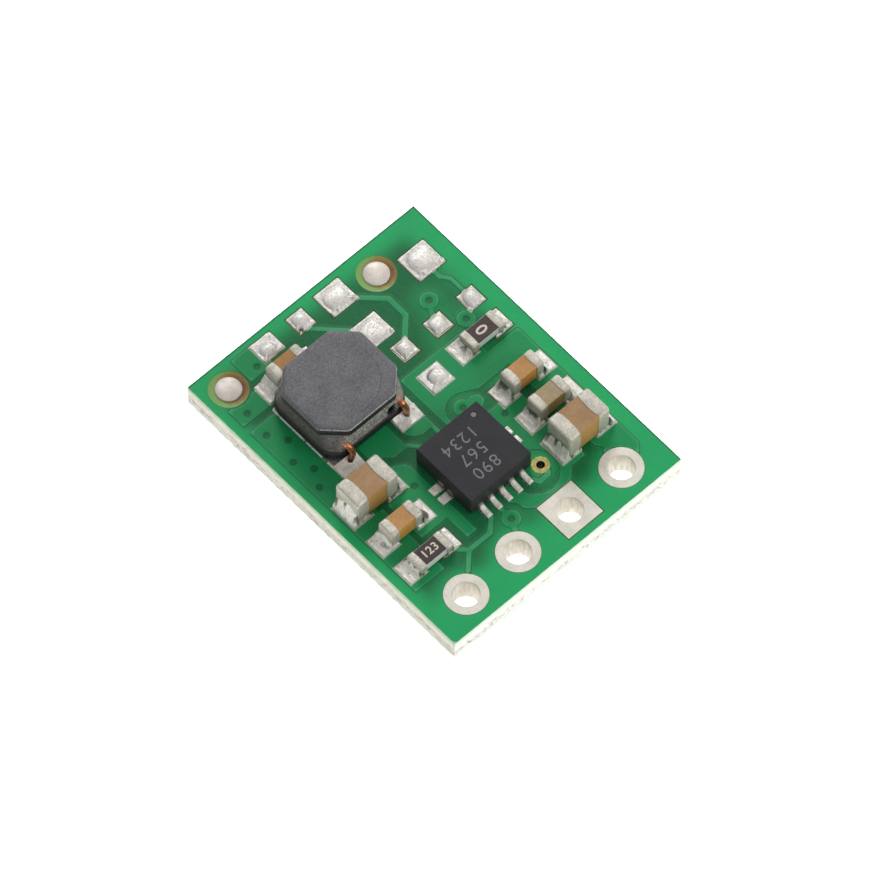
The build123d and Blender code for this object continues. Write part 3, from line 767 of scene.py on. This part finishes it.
def solderPatch(pile, low, high, shape, cell=0.035, spread=0.037, pinch=0.0, ragged=0.0):    # a closed skin
    x0, x1, y0, y1 = low[0] - spread, high[0] + spread, low[1] - spread, high[1] + spread
    countX, countY = max(6, round((x1 - x0) / cell)), max(6, round((y1 - y0) / cell))
    gx, gy = np.meshgrid(np.linspace(x0, x1, countX + 1), np.linspace(y0, y1, countY + 1), indexing="ij")
    edge = np.minimum(np.minimum(gx - x0, x1 - gx), np.minimum(gy - y0, y1 - gy))
    roll = np.sqrt(np.clip(1 - (1 - np.clip(edge / skin["roll"], 0, 1)) ** 2, 0, 1))
    rise, stainAndShade = shape(gx, gy)
    height = foilTop + rise * (skin["lip"] + (1 - skin["lip"]) * roll)
    u, v = fromMiddle(gx, x0, x1), fromMiddle(gy, y0, y1)
    rough = skin["corner"] * (u * v) ** 8 + ragged * (1 + wave(gx, gy, 31.0, 4.5))
    gx = gx - (pinch * (1 - v ** 2) + rough) * u * np.abs(u) ** 3    # the edges draw in
    gy = gy - (pinch * (1 - u ** 2) + rough) * v * np.abs(v) ** 3
    points = np.stack([gx, gy, height], -1)
    pile.grid(points.reshape(-1, 3).tolist(), countY + 1, stainAndShade=np.clip(stainAndShade, 0, 1).ravel().tolist())
    upper = np.concatenate([points[:, 0], points[-1, 1:], points[-2::-1, -1], points[0, -2:0:-1]])
    lower = upper.copy()
    lower[:, 2] = foilTop - skin["sunk"]
    pile.grid(upper.tolist() + lower.tolist(), len(upper), closed=True)


def padDome(low, high, look, rise, seed):    # reflowed solder on an unused pad
    film = skin["film"]
    cu, cv, reach = look["dome"]

    def shape(gx, gy):
        u, v = fromMiddle(gx, low[0], high[0]), fromMiddle(gy, low[1], high[1])
        away = ((np.abs(u - cu) / reach) ** 2.6 + (np.abs(v - cv) / reach) ** 2.6) ** (1 / 2.6)
        away = away * (1 + 0.13 * wave(gx, gy, seed, 2.4))
        lump = np.clip(1 - away ** 2.2, 0, 1) ** 0.65
        height = film + (rise - film) * lump * (0.88 + 0.30 * wave(gx, gy, seed + 20, 1.7) - 0.10 * v)
        for tu, tv, width in look["tails"]:    # solder drawn out towards a corner
            spanU, spanV = tu - cu, tv - cv
            along = np.clip(((u - cu) * spanU + (v - cv) * spanV) / (spanU ** 2 + spanV ** 2), 0, 1)
            off = np.hypot(u - cu - along * spanU, v - cv - along * spanV)
            ridge = film + (rise - film) * (0.85 - 0.4 * along) * np.exp(-(off / width) ** 2)
            height = np.maximum(height, ridge)
        lumps = np.clip(0.55 + 1.6 * wave(gx, gy, seed + 3, 4.4), 0, 1) * look["bank"]
        height = np.maximum(height, film + 0.11 * lumps * np.exp(-((v + 0.80) / 0.17) ** 2))
        # painted shade in the crease round the dome's foot, on its upper left side; the corner notch is
        # darkened too
        foot = np.exp(-((away - 1.08) / 0.09) ** 2) * np.clip(0.25 + 0.6 * (v - u), 0, 1)
        notch = np.exp(-((u - v - 0.1) / 0.30) ** 2 - ((u + v + 1.70) / 0.50) ** 2) * look["notch"]
        return height - 0.015 * foot - 0.06 * notch, look["creviceShade"] * foot * 1.1 + 1.9 * notch
    return shape


def chipFillet(chipX, chipY, seat, climb, seed, stain):    # concave solder round the end of a chip part
    stainX, stainY, stainR, depth = stain

    def shape(gx, gy):
        dx = np.maximum(0, np.maximum(chipX[0] - gx, gx - chipX[1]))
        dy = np.maximum(0, np.maximum(chipY[0] - gy, gy - chipY[1]))
        away = np.hypot(dx, dy)
        share = np.where(away > 0, dx / np.maximum(away, 1e-6), 0)
        top = climb * (0.30 + 0.70 * share) * (1 + 0.35 * wave(gx, gy, seed, 3.5))
        rise = skin["film"] + top * np.exp(-away / (0.10 + 0.09 * climb))
        rise += 0.030 * wave(gx, gy, seed + 5, 4.0) + 0.012 * wave(gx, gy, seed + 8, 11.0)
        lip = 0.05 * np.clip(0.2 + wave(gx, gy, seed + 12, 2.0), 0, 1)
        rise += lip * np.exp(-((away - 0.30) / 0.06) ** 2)
        blot = np.clip(wave(gx, gy, seed + 2, 4.5) * 3.0, 0, 1) * np.exp(-away / 0.22)
        shade = np.clip(1.1 - share, 0, 1) * np.exp(-away / 0.04)
        off = np.hypot((gx - chipX[1] - stainX) * 1.3, gy - chipY[0] - stainY)
        spot = depth * np.exp(-(off / stainR) ** 4)
        # painted shade under the chip and close beside its sides; the blots and the stain are dark too
        return np.where(away > 0, rise, seat), np.where(away > 0, 0.9 * blot + 0.4 * shade + spot, 0.5)
    return shape


padKeys = ("dome", "tails", "bank", "creviceShade", "pinch", "notch")    # bank: lumps at the near edge; creviceShade: how dark the painted shade in the crease is
padLooks = (    # in the part's order; a dome and a tail are a place and a reach
    ((-0.08, -0.26, 0.66), ((-0.92, -0.90, 0.16),), 0.5, 0.15, 0.01, 0),
    ((0.0, 0.04, 0.80), ((-0.96, -0.45, 0.13), (-0.42, -0.98, 0.14)), 0.1, 0.3, 0.03, 1),
    ((-0.02, -0.16, 0.82), ((1.05, -0.98, 0.14), (-0.90, -0.96, 0.20)), 1.0, 0.15, 0.01, 0),
    ((0.10, -0.14, 0.88), ((-0.80, -0.98, 0.20),), 1.0, 0.35, 0.01, 0),
    ((-0.12, -0.16, 0.84), ((-0.95, -0.95, 0.25),), 0.7, 0.2, 0.01, 0),
    ((0.02, 0.04, 0.86), ((-0.72, -0.95, 0.16),), 0.2, 0.35, 0.08, 0.25),
    ((0.0, 0.0, 0.88), ((-0.95, -0.72, 0.15),), 0.2, 0.35, 0.08, 0.2),
    ((0.03, 0.0, 0.86), (), 0.3, 0.3, 0.06, 0.15),
    ((0.26, -0.10, 0.72), ((-0.88, -0.92, 0.20),), 0.1, 1.0, 0.02, 0))
padSkin = dict(rise=0.14, cell=0.026, spread=0.024, ragged=0.010)
pile = Pile()
for k, (low, high) in enumerate(solidsOf("unused_pad_solder")):
    look = dict(zip(padKeys, padLooks[k]))
    shape = padDome(low, high, look, padSkin["rise"], k * 1.7 + 0.4)
    solderPatch(pile, low, high, shape, padSkin["cell"], padSkin["spread"], look["pinch"], padSkin["ragged"])
piece = pile.build("pad_solder_domes", solder, "solder")
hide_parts("unused_pad_solder")

stains = {"capacitor_3": (0.17, 0.24, 0.23, 1.8)}    # burnt flux: its place off the near corner, reach, depth
fillet = dict(capacitor=0.55, resistor=0.7, seatGap=0.004, sideGap=0.01, cell=0.03, spread=0.012,
              ragged=0.012)
chipParts = [f"capacitor_{i}" for i in range(1, 7)] + ["resistor_1", "resistor_2"]
for k, name in enumerate(chipParts):
    capLow, capHigh = boxOf(name + "_end_caps")
    climb = (capHigh[2] - capLow[2]) * fillet[name[:-2]]    # a share of the chip's height
    seat = capLow[2] - foilTop - fillet["seatGap"]
    chipX, chipY = (capLow[0], capHigh[0]), (capLow[1] + fillet["sideGap"], capHigh[1] - fillet["sideGap"])
    pile = Pile()
    for low, high in solidsOf(name + "_solder"):
        shape = chipFillet(chipX, chipY, seat, climb, k * 3.1 + low[0], stains.get(name, (0, 0, 1, 0)))
        solderPatch(pile, low, high, shape, fillet["cell"], fillet["spread"], ragged=fillet["ragged"])
    piece = pile.build(name + "_solder_fillets", paintedLitSolder, "solder")
    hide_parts(name + "_solder")
print("pads and chip parts soldered")

# Ends of the chip parts

capShape = dict(flat=7, corner=4, round=6, radius=0.10, thin=0.022, bow=0.012,
                bulge=dict(capacitor=0.06, resistor=0.02))


def capRing(x, halfWidth, halfHeight, radius, middle, push=lambda y, z: 0.0):
    flatY, flatZ = halfWidth - radius, halfHeight - radius
    walls = ((1, 0, -flatY, halfHeight), (0, -1, halfWidth, flatZ), (-1, 0, flatY, -halfHeight),
             (0, 1, -halfWidth, -flatZ))
    corners = ((flatY, flatZ), (flatY, -flatZ), (-flatY, -flatZ), (-flatY, flatZ))
    points = []
    for q, ((stepY, stepZ, startY, startZ), (centreY, centreZ)) in enumerate(zip(walls, corners)):
        for k in range(capShape["flat"]):
            share = 2 * k / capShape["flat"]
            points.append((startY + stepY * share * flatY, startZ + stepZ * share * flatZ))
        for k in range(capShape["corner"]):
            turn = math.pi / 2 * (1 - q - k / capShape["corner"])
            points.append((centreY + radius * math.cos(turn), centreZ + radius * math.sin(turn)))
    return [(x + push(y, z), middle[1] + y, middle[2] + z) for y, z in points]


def endCapMesh(pile, low, high, side, seed, bulge):    # one metal end, dipped, with a bowed inner edge
    width, height = (high[1] - low[1]) / 2, (high[2] - low[2]) / 2
    middle = (high + low) / 2
    radius = min(capShape["radius"], height * 0.35)
    inner, outer = (high[0], low[0]) if side < 0 else (low[0], high[0])
    band = abs(outer - inner)

    def bowed(y, z):    # the edge reaches further in at the middle of a face
        across = min(abs(y) / width, abs(z) / height)
        wobble = 0.35 * noise.noise(Vector((y * 5, z * 5, seed)))
        return side * bulge * (0.3 + across ** 3 - 1 + wobble)

    lines = []
    for along, sunk in ((0.0, 1.0), (0.02, 0.35), (0.07, 0.0)):
        shrink = sunk * capShape["thin"]
        lines += capRing(inner + side * band * along, width - shrink, height - shrink, radius, middle, bowed)
    lines += capRing(inner + side * band * 0.45, width, height, radius, middle)
    for k in range(capShape["round"] + 1):
        share = k / capShape["round"]
        turn = math.pi / 2 * share
        inward = radius * (1 - math.cos(turn))
        x = outer - side * radius * (1 - math.sin(turn)) - side * capShape["bow"] * (1 - share)
        lines += capRing(x, width - inward, height - inward, max(radius - inward * 0.6, 0.02), middle)
    for share in (0.75, 0.4, 0.08):
        lines += capRing(outer, (width - radius) * share, (height - radius) * share, 0.02 * share, middle)
    pile.grid(lines, 4 * (capShape["flat"] + capShape["corner"]), closed=True)


for k, name in enumerate(chipParts):
    capLow, capHigh = boxOf(name + "_end_caps")
    pile = Pile()
    for low, high in solidsOf(name + "_end_caps"):
        side = -1 if low[0] < (capLow[0] + capHigh[0]) / 2 else 1
        endCapMesh(pile, low, high, side, k * 2.2 + side, (high[1] - low[1]) * capShape["bulge"][name[:-2]])
    piece = pile.build(name + "_metal_ends", endCap, "end_cap", angle=70)
    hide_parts(name + "_end_caps")
capacitorPaints = {2: bigCeramic, 6: bigCeramic, 5: greyCeramic}
for i in range(1, 7):
    dress(f"capacitor_{i}_body", capacitorPaints.get(i, smallCeramic), 0.03)
for i in (1, 2):
    dress(f"resistor_{i}_body", alumina, 0.012)
    dress(f"resistor_{i}_glaze", glaze, 0.008)
print("chip parts dressed")

# Converter chip

dress("converter_chip_mould", mould, 0.02)
dress("converter_chip_leads", leadTin)
dress("converter_chip_heat_pad", leadTin)

chipLow, chipHigh = boxOf("converter_chip_mould")
leadJoint = dict(climb=0.20, film=0.05, crown=0.05, seat=0.055, cell=0.02)
tab = dict(rows=(-2.06, -2.54), halfWide=0.15, under=0.25, cell=0.025)


def fallOff(away, reach):    # from 1 at a part's wall down to 0
    return np.exp(-np.clip(away, 0, 9) / reach)


def fingerHeight(low, high, seed):
    faceY, outward = (chipLow[1], -1) if low[1] < chipLow[1] else (chipHigh[1], 1)

    def heightAt(gx, gy):
        away = (gy - faceY) * outward
        u = (gx - (low[0] + high[0]) / 2) / (high[0] - low[0]) * 2
        rise = leadJoint["film"] + leadJoint["crown"] * (1 - u ** 2)
        rise += leadJoint["climb"] * fallOff(away, 0.13) + 0.016 * wave(gx, gy, seed, 7.0)
        rise = np.where(away > -0.002, rise, leadJoint["seat"])
        return rise, 1.1 * fallOff(away, 0.08) + 0.3 * u ** 8
    return heightAt


def tabHeight(gx, gy):
    away = np.maximum(chipLow[0] - gx, gx - chipHigh[0])
    # painted shadow next to the chip's wall
    return leadJoint["seat"] + 0.015 * wave(gx, gy, 2.0, 6.0), 1.2 * fallOff(away, 0.07)


pile = Pile()
for k, (low, high) in enumerate(solidsOf("converter_chip_solder")):
    if high[0] - low[0] < 1:    # a lead's solder, and below it the heat pad's
        solderPatch(pile, low, high, fingerHeight(low, high, k), leadJoint["cell"])
        continue
    for y in tab["rows"]:
        for x0, x1 in ((low[0], chipLow[0] + tab["under"]), (chipHigh[0] - tab["under"], high[0])):
            solderPatch(pile, (x0, y - tab["halfWide"]), (x1, y + tab["halfWide"]), tabHeight, tab["cell"])
piece = pile.build("chip_solder_fingers", paintedLitSolder, "solder")
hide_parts("converter_chip_solder")


def textPiece(name, text, size, x, y, face, turn, paint, spacing, bold):    # print on a face
    curve = bpy.data.curves.new(name, "FONT")
    curve.body, curve.size, curve.align_x, curve.align_y = text, size * mm, "CENTER", "CENTER"
    curve.extrude, curve.offset = ink["halfThick"] * mm, bold * mm
    curve.space_character = spacing
    place = Matrix.Translation(Vector((x, y, face + ink["above"])) * mm)
    curvePiece(name, curve, paint, place @ Matrix.Rotation(math.radians(turn), 4, "Z"), angle=0)


ink = dict(halfThick=0.002, above=0.001)
chipMarks = dict(rows=(("1234", -0.20, -1.55), ("567", -0.18, -2.26), ("890", -0.18, -2.97)), size=0.70,
                 turn=180, spacing=1.16, bold=-0.003)
for k, (text, x, y) in enumerate(chipMarks["rows"]):
    textPiece(f"chip_marking_{k + 1}", text, chipMarks["size"], x, y, chipHigh[2], chipMarks["turn"], chipInk,
              chipMarks["spacing"], chipMarks["bold"])
pinDot = dict(x=0.92, y=-1.10, radius=0.105, sunk=0.014, crown=0.004)
pile = Pile()
flat = chipHigh[2] - pinDot["sunk"]
profile = (1, flat), (0.6, flat + pinDot["crown"]), (0, flat)
pile.disc(pinDot["x"], pinDot["y"], pinDot["radius"], profile, 24)
pile.build("chip_pin_dot", chipInk, "mould")
resistorMarks = ("resistor_1", "0", 0.66, 90, 0.012), ("resistor_2", "123", 0.46, 0, 0.008)
for name, text, size, turn, bold in resistorMarks:
    low, high = boxOf(name + "_glaze")
    x, y, _ = (low + high) / 2
    textPiece(name + "_marking", text, size, x, y, high[2], turn, resistorInk, 1.1, bold)
print("converter chip dressed")

# Power inductor

coilLow, coilHigh = boxOf("inductor_core")
resinLow, resinHigh = boxOf("inductor_resin")
coilMiddle = (coilLow + coilHigh) / 2
coilShape = dict(topCut=0.82, baseCut=0.42, topCorner=0.12, baseCorner=0.34, cornerSteps=5, edge=0.05,
                 topEdge=0.12, topEdgeIn=0.17, topSteps=6, flatIn=0.6, drum=0.85, lipDown=0.07)
resinShape = dict(foot=0.02, head=0.05, belly=0.02, corner=0.30, rows=34, across=22, rough=0.012)


def coilRing(z, inset, cut, corner, edgeSteps=1):    # a rounded octagon, its points always in one order
    hx, hy = (coilHigh[:2] - coilLow[:2]) / 2 - inset
    cut = cut - inset * (2 - math.sqrt(2))
    corners = [Vector(spot) for spot in ((hx, cut - hy), (hx, hy - cut), (hx - cut, hy), (cut - hx, hy),
                                         (-hx, hy - cut), (-hx, cut - hy), (cut - hx, -hy), (hx - cut, -hy))]
    starts, ends, points = [], [], []
    for k, at in enumerate(corners):
        for found, other in ((starts, corners[k - 1]), (ends, corners[(k + 1) % 8])):
            side = other - at
            found.append(at + side.normalized() * min(corner, side.length * 0.45))
    for k, at in enumerate(corners):
        start, end, following = starts[k], ends[k], starts[(k + 1) % 8]
        for i in range(coilShape["cornerSteps"]):
            t = i / coilShape["cornerSteps"]
            points.append(start * (1 - t) ** 2 + at * 2 * t * (1 - t) + end * t ** 2)
        points += [end + (following - end) * i / edgeSteps for i in range(edgeSteps)]
    return [(p.x + coilMiddle[0], p.y + coilMiddle[1], z) for p in points]


def drumRing(z, like, radius):    # a circle, its points facing those of another ring
    turns = [math.atan2(y - coilMiddle[1], x - coilMiddle[0]) for x, y, _ in like]
    return [(coilMiddle[0] + radius * math.cos(t), coilMiddle[1] + radius * math.sin(t), z) for t in turns]


def coilCore():
    c = coilShape
    base, top, edge = (c["baseCut"], c["baseCorner"]), (c["topCut"], c["topCorner"]), c["edge"]
    lip = resinHigh[2] - c["lipDown"]
    rings = [coilRing(z, inset, *base) for z, inset in (
        (coilLow[2], edge), (coilLow[2] + edge * 0.3, edge * 0.3), (coilLow[2] + edge, 0),
        (resinLow[2] - edge, 0), (resinLow[2] - edge * 0.3, edge * 0.3), (resinLow[2], edge))]
    rings += [drumRing(z, rings[0], c["drum"]) for z in (resinLow[2], lip)]
    rings += [coilRing(lip + edge * share, edge * (1 - share) ** 2, *top) for share in (0, 0.4, 1)]
    for k in range(c["topSteps"] + 1):
        turn = math.pi / 2 * k / c["topSteps"]
        down, inset = c["topEdge"] * (1 - math.sin(turn)), c["topEdgeIn"] * (1 - math.cos(turn))
        rings.append(coilRing(coilHigh[2] - down, inset, *top))
    rings += [coilRing(coilHigh[2], c["flatIn"], *top), drumRing(coilHigh[2], rings[0], 0)]
    rings.insert(0, drumRing(coilLow[2], rings[0], 0))
    pile = Pile()
    pile.grid(sum(rings, []), len(rings[0]), closed=True)
    piece = pile.build("inductor_rounded_core", ferrite, "ferrite", angle=38)
    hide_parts("inductor_core")


def coilResin():
    c, r = coilShape, resinShape
    points = []
    for k in range(r["rows"] + 1):
        t = k / r["rows"]
        z = resinLow[2] + (resinHigh[2] - resinLow[2]) * t
        inset = r["foot"] + (r["head"] - r["foot"]) * t - r["belly"] * math.sin(math.pi * t)
        ring = coilRing(z, inset, c["baseCut"] + (c["topCut"] - c["baseCut"]) * t, r["corner"], r["across"])
        for x, y, _ in ring:
            rough = r["rough"] * noise.noise(Vector((x * 5, y * 5, z * 5)))
            x, y = x + rough * (x - coilMiddle[0]) / 2, y + rough * (y - coilMiddle[1]) / 2
            away = math.hypot((x - hollow["x"]) / hollow["wide"], (z - hollow["z"]) / hollow["tall"])
            if y < coilMiddle[1] - 1:
                away *= 1 + 0.12 * noise.noise(Vector((x * 6, z * 6, 4.0)))
                y += hollow["depth"] * max(0.0, 1 - away ** 3) ** 0.6
            points.append((x, y, z))
    for z in (resinHigh[2], resinLow[2]):
        points += drumRing(z, ring, c["drum"])
    pile = Pile()
    pile.grid(points + points[:len(ring)], len(ring), closed=True)
    piece = pile.build("inductor_moulded_resin", resin, "resin", angle=70)
    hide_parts("inductor_resin")


coilCore()
coilResin()
dress("inductor_winding", wire)
dress("inductor_terminals", leadTin)

wireShape = dict(radius=0.128, routes=(
    ((-3.30, 1.60, 2.12), (-3.28, 1.20, 2.08), (-3.22, 0.98, 1.98), (-3.13, 0.90, 1.66), (-3.22, 0.89, 1.36),
     (-3.30, 0.90, 1.20)),
    ((-0.69, 1.60, 2.16), (-0.67, 1.20, 2.12), (-0.61, 0.98, 2.00), (-0.52, 0.90, 1.66), (-0.52, 0.88, 1.36),
     (-0.52, 0.90, 1.20))))
curve = bpy.data.curves.new("wireEnds", "CURVE")
curve.dimensions = "3D"
curve.bevel_depth, curve.bevel_resolution = wireShape["radius"] * mm, 5
curve.use_fill_caps = True
for route in wireShape["routes"]:
    spline = curve.splines.new("NURBS")
    spline.points.add(len(route) - 1)
    for point, place in zip(spline.points, route):
        point.co = (*(Vector(place) * mm), 1)
    spline.order_u, spline.use_endpoint_u, spline.resolution_u = 3, True, 8
piece = curvePiece("inductor_round_wires", curve, wire)
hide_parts("inductor_wire_ends")


def coilHeight(seed):    # solder in front of the coil's base
    def heightAt(gx, gy):
        away = coilLow[1] - gy
        rise = 0.07 + 0.16 * fallOff(away - 0.05, 0.16) + 0.04 * wave(gx, gy, seed + 9, 4.0)
        blot = np.clip(wave(gx, gy, seed + 2, 3.0) * 2.2 - 0.3, 0, 1) * fallOff(away, 0.3)
        return np.where(away > 0, rise, 0.05), blot
    return heightAt


pile = Pile()
for k, (low, high) in enumerate(solidsOf("inductor_solder")):
    solderPatch(pile, low, high, coilHeight(k), 0.04)
piece = pile.build("inductor_land_solder", paintedLitSolder, "solder")
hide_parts("inductor_solder")
print("inductor dressed")

# Fiducial discs with a slight crown, and the varnish over the bare laminate round them

crown = ((1, -0.06), (1, -0.012), (0.97, 0), (0.9, 0.016), (0.7, 0.042), (0.4, 0.060), (0.1, 0.066),
         (0, 0.066))    # shares of the disc's radius, and heights over its solid
varnish = dict(outer=0.765, under=0.01, rise=0.004, bank=0.03, sunk=0.02, steps=8, count=56,
               brownX=0.94, brownY=-0.34)
boardTop = boxOf("laminate")[1][2] + varnish["rise"]
rings, discs = Pile(), Pile()
for low, high in solidsOf("fiducial_discs"):
    x, y, _ = (low + high) / 2
    reach, count = (high[0] - low[0]) / 2, varnish["count"]
    discs.disc(x, y, reach, [(share, high[2] + rise) for share, rise in crown])
    spots, brown = [], []
    for i in range(varnish["steps"] + 1):
        share = i / varnish["steps"]
        radius = reach - varnish["under"] + (varnish["outer"] - (reach - varnish["under"])) * share
        for k in range(count):
            east, north = math.cos(2 * math.pi * k / count), math.sin(2 * math.pi * k / count)
            spots.append((x + radius * east, y + radius * north, boardTop + varnish["bank"] * share ** 3))
            way = varnish["brownX"] * east + varnish["brownY"] * north
            brown.append(min(1.0, max(0.0, 0.42 + 0.5 * way - 0.75 * (share - 0.45))))
    loop = spots[-count:] + spots[:count]
    spots += [(px, py, boardTop - varnish["sunk"]) for px, py, _ in loop] + spots[:count]
    rings.grid(spots, count, closed=True, stainAndShade=brown + [0.0] * 2 * count + brown[:count])
rings.build("fiducial_varnish_rings", varnishFilm, "laminate")
piece = discs.build("fiducial_crowned_discs", discTin, "tin")
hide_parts("fiducial_discs")
print("all pieces made")
